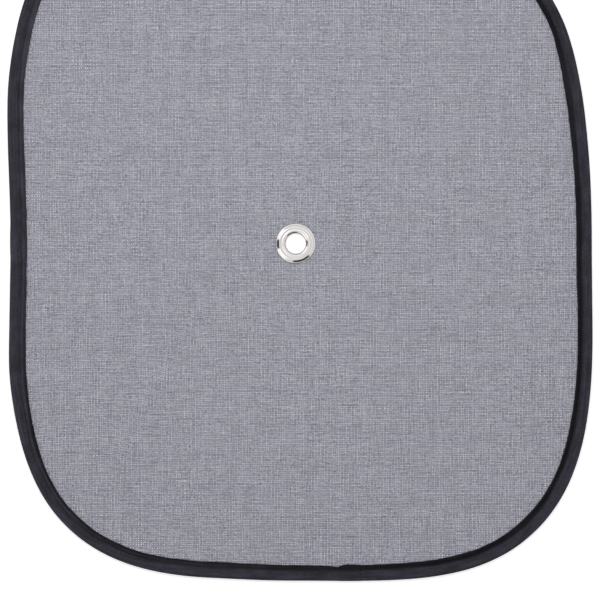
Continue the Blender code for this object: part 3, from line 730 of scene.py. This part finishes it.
def tape_material():
    """Matt black tape with painted light and shade across it: lighter on the crown puffed over the wire,
    darker at the outer fold and in the seam, and its flange painted dark on some sides and light on others."""
    material, shader = new_material("binding_polyester_tape", 0.62)
    shader.inputs["Sheen Weight"].default_value = 0.02
    shader.inputs["Sheen Roughness"].default_value = 0.4
    shader.inputs["Specular IOR Level"].default_value = 0.05
    link, new = material.node_tree.links.new, material.node_tree.nodes.new
    place, uv = new("ShaderNodeTexCoord"), new("ShaderNodeUVMap")
    uv.uv_map = "tape"
    dye = add_group(
        material,
        uneven_dye,
        Blotch_Scale=110.0,
        Fleck_Scale=900.0,
        Fleck_Share=0.5,
        Fleck_Stretch=(1, 1, 1),
        Deep=(0.76, 0.75, 0.66, 1),
        Faded=(1.22, 1.20, 1.34, 1),
    )
    weave = add_group(material, ribbed_weave_group(), Rib_Pitch=0.62 * MM, Pick_Pitch=0.45 * MM)
    seam = new("ShaderNodeAttribute")
    seam.attribute_name = "from_seam"
    reach = spread_out(material.node_tree, -8 * MM, 4 * MM)
    # The painted light and shade across the tape, from 8 mm outside the seam (0.0) to 4 mm inside it (1.0).
    shaded_flange_tones = ((0.0, 0.034), (0.1, 0.041), (0.46, 0.034), (0.54, 0.030), (0.60, 0.019), (0.645, 0.009))
    shaded_flange_tones += ((0.69, 0.006), (0.76, 0.007), (0.86, 0.012), (1.0, 0.010))
    half_lit_flange_tones = ((0.0, 0.038), (0.1, 0.045), (0.46, 0.035), (0.58, 0.034), (0.65, 0.027), (0.68, 0.028))
    half_lit_flange_tones += ((0.73, 0.042), (0.79, 0.036), (0.85, 0.014), (1.0, 0.012))
    lit_flange_tones = ((0.0, 0.036), (0.1, 0.042), (0.46, 0.035), (0.58, 0.036), (0.65, 0.029), (0.69, 0.030))
    lit_flange_tones += ((0.75, 0.044), (0.82, 0.048), (0.88, 0.048), (1.0, 0.036))
    # The flange's painted light, stored on the tape's points.
    lit = new("ShaderNodeAttribute")
    lit.attribute_name = "flange_painted_light"

    def painted_shading_ramp(row):
        """The colour ramp of painted light and shade for one kind of flange."""
        stops = [(place, (1.05 * tone, tone, 1.27 * tone)) for place, tone in row]
        return ramp(material, reach.outputs["Result"], stops).outputs["Color"]

    colour = painted_shading_ramp(shaded_flange_tones)
    # A flange's painted shading goes from fully shaded to lit with a dark lip to fully lit as its painted
    # light rises from 0 to 0.5 to 1.
    for low, row in ((0.0, half_lit_flange_tones), (0.5, lit_flange_tones)):
        share, zones = spread_out(material.node_tree, low, low + 0.5), new("ShaderNodeMix")
        zones.data_type = "RGBA"
        link(lit.outputs["Fac"], share.inputs["Value"])
        link(share.outputs["Result"], zones.inputs["Factor"])
        link(colour, zones.inputs[6])
        link(painted_shading_ramp(row), zones.inputs[7])
        colour = zones.outputs[2]
    streak_stops = [(0.35, (0.76, 0.77, 0.75)), (0.65, (1.2, 1.18, 1.22))]
    streaks = ramp(material, weave.outputs["Streak"], streak_stops)
    for tint in (dye, streaks):
        tinted = new("ShaderNodeMix")
        tinted.data_type, tinted.blend_type = "RGBA", "MULTIPLY"
        tinted.inputs["Factor"].default_value = 1.0
        link(colour, tinted.inputs[6])
        link(tint.outputs["Color"], tinted.inputs[7])
        colour = tinted.outputs[2]
    link(place.outputs["Object"], dye.inputs["Vector"])
    link(uv.outputs["UV"], weave.inputs["Vector"])
    link(seam.outputs["Fac"], reach.inputs["Value"])
    link(colour, shader.inputs["Base Color"])
    relief(material, weave.outputs["Height"], 0.55, 0.12 * MM)
    return material


binding = sweep_rows("edge_binding_tape", section_rows(), tape_material())
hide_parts("edge_binding")
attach(binding, "root")

# Seam stitches: a lockstitch in black polyester thread all round, sewn through both sides of the tape and
# the mesh. Each stitch lies in the valley that it pulls, its ends dipping into the cloth, needle thread on
# top and bobbin thread underneath.
STITCH_LENGTH = 2.25 * MM
STITCH_THREAD = 0.34 * MM
STITCH_DIP = 0.30 * MM
STITCH_RAISE = 0.02 * MM


def stitch_material():
    """Black sewing thread with the lay of its twist."""
    material, shader = new_material("black_sewing_thread", 0.6)
    shader.inputs["Specular IOR Level"].default_value = 0.1
    link, new = material.node_tree.links.new, material.node_tree.nodes.new
    place = new("ShaderNodeTexCoord")
    dye = add_group(
        material,
        uneven_dye,
        Blotch_Scale=120.0,
        Fleck_Scale=1500.0,
        Fleck_Share=0.72,
        Fleck_Stretch=(1, 1, 1),
        Deep=(0.010, 0.010, 0.013, 1),
        Faded=(0.024, 0.023, 0.030, 1),
    )
    link(place.outputs["Object"], dye.inputs["Vector"])
    link(dye.outputs["Color"], shader.inputs["Base Color"])
    twist = new("ShaderNodeTexWave")
    twist.bands_direction = "DIAGONAL"
    twist.inputs["Scale"].default_value = 1400.0
    link(place.outputs["Object"], twist.inputs["Vector"])
    relief(material, twist.outputs["Fac"], 0.5, 0.05 * MM)
    return material


black_thread = stitch_material()


def stitch_tree():
    """Sets a bowed stitch at every place along a line, turned along it."""
    labels = ["Count", "Length", "Thickness", "Dip", "Side"]
    tree, start, realize = new_tree("lockstitches", labels)
    link, new = tree.links.new, tree.nodes.new
    to_curve, spread = new("GeometryNodeMeshToCurve"), new("GeometryNodeResampleCurve")
    place = new("GeometryNodeInstanceOnPoints")
    tangent, align = new("GeometryNodeInputTangent"), new("FunctionNodeAlignRotationToVector")
    align.axis, align.pivot_axis = "X", "Z"
    bow, round_section = new("GeometryNodeCurveQuadraticBezier"), new("GeometryNodeCurvePrimitiveCircle")
    bow.inputs["Resolution"].default_value = 7
    round_section.inputs["Resolution"].default_value = 6
    sweep = new("GeometryNodeCurveToMesh")
    sweep.inputs["Fill Caps"].default_value = True

    def times(size, factor):
        """A size times a number or another size."""
        product = new("ShaderNodeMath")
        product.operation = "MULTIPLY"
        link(size, product.inputs[0])
        if isinstance(factor, float):
            product.inputs[1].default_value = factor
        else:
            link(factor, product.inputs[1])
        return product.outputs[0]

    down = times(start.outputs["Dip"], start.outputs["Side"])
    for label, length_share, dip_share in (("Start", -0.5, -1.0), ("Middle", 0.0, 0.95), ("End", 0.5, -1.0)):
        corner = new("ShaderNodeCombineXYZ")
        link(times(start.outputs["Length"], length_share), corner.inputs["X"])
        link(times(down, dip_share), corner.inputs["Z"])
        link(corner.outputs[0], bow.inputs[label])
    link(times(start.outputs["Thickness"], 0.5), round_section.inputs["Radius"])
    link(bow.outputs["Curve"], sweep.inputs["Curve"])
    link(round_section.outputs["Curve"], sweep.inputs["Profile Curve"])
    size_jitter = new("FunctionNodeRandomValue")
    size_jitter.inputs["Seed"].default_value = 5
    size_jitter.inputs[2].default_value, size_jitter.inputs[3].default_value = 0.9, 1.08
    link(start.outputs["Geometry"], to_curve.inputs["Mesh"])
    link(to_curve.outputs["Curve"], spread.inputs["Curve"])
    link(start.outputs["Count"], spread.inputs["Count"])
    link(spread.outputs["Curve"], place.inputs["Points"])
    link(tangent.outputs["Tangent"], align.inputs["Vector"])
    link(align.outputs["Rotation"], place.inputs["Rotation"])
    link(size_jitter.outputs[1], place.inputs["Scale"])
    link(sweep.outputs["Mesh"], place.inputs["Instance"])
    link(place.outputs["Instances"], realize.inputs[0])
    return tree


lockstitches = stitch_tree()
seam_line = station_edge + station_inward * seam_inset[:, None]
for name, node, side, lap_layers in (
    ("seam_needle_stitches", "seam_needle_thread", 1.0, 1),
    ("seam_bobbin_stitches", "seam_bobbin_thread", -1.0, 0),
):
    rise = SEAM_HEIGHT + STITCH_RAISE + lap_layers * TAPE_WALL * in_lap
    seam_points = np.column_stack((seam_line, middle_height + side * rise))
    seam_edges = [(i, (i + 1) % len(seam_points)) for i in range(len(seam_points))]
    seam_mesh = bpy.data.meshes.new("seam_line")
    seam_mesh.from_pydata(seam_points.tolist(), seam_edges, [])
    sizes = {"Count": stitch_count, "Length": STITCH_LENGTH, "Thickness": STITCH_THREAD}
    sizes |= {"Dip": STITCH_DIP, "Side": side}
    stitches = plain_piece(name, grown(seam_mesh, lockstitches, black_thread, sizes), black_thread)
    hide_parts(node)
    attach(stitches, "root")

# Eyelet: two rings pressed from thin brass sheet and plated in bright nickel. The front one has a flat
# lip, a raised beaded face and a barrel that passes through the punched hole, and its end is rolled
# outwards over the dished washer on the back.
SHEET = 0.4 * MM
RIM_ROUNDING = 0.14 * MM
EYELET_STEPS = 144
BARREL_RADIUS = 6.72 * MM
# The middle of the sheet in both rings: radius, and height above the panel's middle, in millimetres.
FRONT_LINE = (
    (12.66, 0.73),
    (12.44, 0.75),
    (12.22, 0.79),
    (12.00, 0.87),
    (11.76, 1.03),
    (11.48, 1.24),
    (11.20, 1.42),
    (10.92, 1.56),
    (10.66, 1.65),
    (10.40, 1.70),
    (10.12, 1.71),
    (9.86, 1.68),
    (9.62, 1.64),
    (9.38, 1.64),
    (9.14, 1.68),
    (8.94, 1.73),
    (8.74, 1.79),
    (8.54, 1.84),
)
MOUTH_RADIUS = 1.62 * MM
MOUTH_RISE = 0.03 * MM
CLINCH_HEIGHT = -1.5 * MM
CLINCH_BEND = 0.5 * MM
CLINCH_REACH = 9.2 * MM
WASHER_LINE = (
    (12.45, -0.80),
    (12.2, -0.92),
    (11.9, -1.12),
    (11.4, -1.30),
    (10.95, -1.35),
    (10.5, -1.28),
    (10.1, -1.05),
    (9.85, -0.86),
    (9.6, -0.80),
    (8.6, -0.80),
    (7.6, -0.80),
)


def bend(centre_r, centre_z, radius, start, end, count):
    """Points of (radius, height) round a bend, from the start angle to the end angle in degrees."""
    angles = np.radians(np.linspace(start, end, count))
    return [(centre_r + radius * math.cos(a), centre_z + radius * math.sin(a)) for a in angles]


def front_centreline():
    """The sheet's middle line from the lip, over the beads and down the barrel, to the rolled end."""
    line = [(r * MM, z * MM) for r, z in FRONT_LINE]
    centre_r, centre_z = BARREL_RADIUS + MOUTH_RADIUS, line[-1][1] - MOUTH_RADIUS + MOUTH_RISE
    line += bend(centre_r, centre_z, MOUTH_RADIUS, 88, 180, 12)
    line += bend(BARREL_RADIUS + CLINCH_BEND, CLINCH_HEIGHT + CLINCH_BEND, CLINCH_BEND, 180, 270, 7)
    line.append((CLINCH_REACH, CLINCH_HEIGHT))
    return line


def pressed_ring(name, centreline, material):
    """A closed ring of sheet metal: the centreline given its thickness, rounded at both rims, and spun."""
    line = np.array(centreline)
    along = np.gradient(line, axis=0)
    along /= np.linalg.norm(along, axis=1)[:, None]
    side = np.column_stack((-along[:, 1], along[:, 0]))
    first_side, second_side = line + side * SHEET / 2, line - side * SHEET / 2
    rim_start = line[:1] - along[:1] * RIM_ROUNDING
    rim_end = line[-1:] + along[-1:] * RIM_ROUNDING
    loop = np.vstack((rim_start, first_side, rim_end, second_side[::-1]))
    turns = np.linspace(0, 2 * np.pi, EYELET_STEPS, endpoint=False)
    points = np.empty((len(loop), EYELET_STEPS, 3))
    points[:, :, 0] = eyelet_x + loop[:, :1] * np.cos(turns)
    points[:, :, 1] = eyelet_y + loop[:, :1] * np.sin(turns)
    points[:, :, 2] = middle_height + loop[:, 1:]
    return plain_piece(name, ring_mesh(name, points), material)


bright_nickel = bare_metal("bright_nickel_plate", (0.64, 0.618, 0.612), 0.09, 0.19, 1100.0)
back_nickel = bare_metal("nickel_washer_plate", (0.6, 0.585, 0.575), 0.12, 0.28, 1100.0)
eyelet_front = pressed_ring("eyelet_front_ring", front_centreline(), bright_nickel)
eyelet_back = pressed_ring("eyelet_back_washer", [(r * MM, z * MM) for r, z in WASHER_LINE], back_nickel)
for ring, node in ((eyelet_front, "eyelet_grommet"), (eyelet_back, "eyelet_washer")):
    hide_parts(node)
    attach(ring, "root")

# Floor, light and camera: the shade lies on a white sheet under broad soft lights from above and the left
# and a weak one from the right, and the camera looks straight down on it. Three white cards and two dark
# ones, seen only in the metal, give the eyelet its bright and dark reflections.
FLOOR_HALF = 4.0
PHOTO_WIDTH = 0.390
CAMERA_HEIGHT = 1.5
CAMERA_X = 0.4 * MM
CAMERA_Y = -38.3 * MM
SKY_LIGHT = 0.5
FLOOR_LIFT = 0.5
# The sine of the height above the horizon, and how bright the walls and ceiling are there.
SKY_IN_METAL = ((0.0, 0.5), (0.3, 0.8), (0.62, 1.1), (0.86, 1.35), (0.95, 0.94), (1.0, 0.8))
SOFTBOXES = (
    # name, direction, elevation, distance, width, height, brightness, lights the cloth, seen in the metal
    ("upper_left_softbox", 150, 34, 1.3, 0.9, 1.4, 1.2, True, False),
    ("top_softbox", 95, 76, 0.56, 0.5, 0.5, 1.2, True, False),
    ("right_softbox", 10, 40, 1.3, 0.9, 1.4, 0.5, True, False),
    ("upper_left_card", 149, 34, 1.2, 0.84, 1.3, 0.6, False, True),
    ("lower_left_card", 213, 34, 1.2, 0.84, 1.3, 0.6, False, True),
    ("top_card", 85, 71, 1.1, 1.1, 0.22, 0.6, False, True),
)
DARK_CARDS = (
    # name, direction, half of the turn that it takes up, distance, height
    ("left_card", 180, 15, 0.7, 1.05),
    ("lower_right_card", -70, 29, 0.7, 0.8),
)


def flat_sheet(name, corners, material):
    """A single four-cornered sheet."""
    mesh = bpy.data.meshes.new(name)
    mesh.from_pydata(corners, [], [(0, 1, 2, 3)])
    piece = plain_piece(name, mesh, material)
    return piece


def floor_material():
    """White paper that keeps the object's shadow, lifted a little for the camera alone."""
    material, shader = new_material("white_paper", 1.0)
    link, new = material.node_tree.links.new, material.node_tree.nodes.new
    shader.inputs["Base Color"].default_value = (0.86, 0.86, 0.86, 1)
    shader.inputs["Specular IOR Level"].default_value = 0.0
    shader.inputs["Emission Color"].default_value = (1, 1, 1, 1)
    ray, seen = new("ShaderNodeLightPath"), new("ShaderNodeMath")
    seen.operation = "MULTIPLY"
    seen.inputs[1].default_value = FLOOR_LIFT
    link(ray.outputs["Is Camera Ray"], seen.inputs[0])
    link(seen.outputs[0], shader.inputs["Emission Strength"])
    return material


floor_corners = [(FLOOR_HALF * x, FLOOR_HALF * y, 0) for x, y in ((-1, -1), (1, -1), (1, 1), (-1, 1))]
flat_sheet("floor", floor_corners, floor_material())
card_grey, card_shader = new_material("dark_grey_card", 0.9)
card_shader.inputs["Base Color"].default_value = (0.045, 0.044, 0.042, 1)
for name, direction, half_turn, distance, high in DARK_CARDS:
    ends = [math.radians(direction + turn) for turn in (-half_turn, half_turn)]
    (x0, y0), (x1, y1) = [
        (distance * math.cos(end) + eyelet_x, distance * math.sin(end) + eyelet_y) for end in ends
    ]
    card = flat_sheet(name, [(x0, y0, 0), (x1, y1, 0), (x1, y1, high), (x0, y0, high)], card_grey)
    card.visible_camera = False
    card.visible_diffuse = False
    card.visible_shadow = False
    card.visible_transmission = False

world = bpy.data.worlds.new("studio")
bpy.context.scene.world = world
world.use_nodes = True
sky = world.node_tree.nodes["Background"]
sky.inputs["Color"].default_value = (1, 1, 1, 1)
sky_link, sky_new = world.node_tree.links.new, world.node_tree.nodes.new
sky_ray, sky_place = sky_new("ShaderNodeLightPath"), sky_new("ShaderNodeTexCoord")
sky_split, studio_walls = sky_new("ShaderNodeSeparateXYZ"), sky_new("ShaderNodeValToRGB")
for place, brightness in SKY_IN_METAL:
    stop = studio_walls.color_ramp.elements.new(place)
    stop.color = (brightness, brightness, brightness, 1)
studio_walls.color_ramp.elements.remove(studio_walls.color_ramp.elements[0])
for_metal, strength = sky_new("ShaderNodeMix"), sky_new("ShaderNodeMix")
for_metal.inputs["A"].default_value = SKY_LIGHT
strength.inputs["B"].default_value = 1.0
sky_link(sky_place.outputs["Generated"], sky_split.inputs["Vector"])
sky_link(sky_split.outputs["Z"], studio_walls.inputs["Fac"])
sky_link(sky_ray.outputs["Is Glossy Ray"], for_metal.inputs["Factor"])
sky_link(studio_walls.outputs["Color"], for_metal.inputs["B"])
sky_link(sky_ray.outputs["Is Camera Ray"], strength.inputs["Factor"])
sky_link(for_metal.outputs["Result"], strength.inputs["A"])
sky_link(strength.outputs["Result"], sky.inputs["Strength"])

for name, direction, elevation, distance, width, height, brightness, lights_cloth, in_metal in SOFTBOXES:
    light = bpy.data.lights.new(name, "AREA")
    light.shape = "RECTANGLE"
    light.size, light.size_y = width, height
    light.energy = brightness * math.pi * width * height
    lamp = bpy.data.objects.new(name, light)
    around, up = math.radians(direction), math.radians(elevation)
    reach = distance * math.cos(up)
    lamp.location = (reach * math.cos(around), reach * math.sin(around), distance * math.sin(up))
    lamp.rotation_euler = (-lamp.location).to_track_quat("-Z", "Y").to_euler()
    lamp.visible_camera = False
    lamp.visible_diffuse = lights_cloth
    lamp.visible_glossy = in_metal
    bpy.context.scene.collection.objects.link(lamp)

camera = bpy.data.cameras.new("camera")
camera.sensor_width = 36
camera.lens = camera.sensor_width * CAMERA_HEIGHT / PHOTO_WIDTH
camera.clip_start, camera.clip_end = 0.05, 20
camera_object = bpy.data.objects.new("camera", camera)
camera_object.location = (CAMERA_X, CAMERA_Y, CAMERA_HEIGHT + middle_height)
bpy.context.scene.collection.objects.link(camera_object)
bpy.context.scene.camera = camera_object
bpy.context.scene.view_settings.view_transform = "Standard"
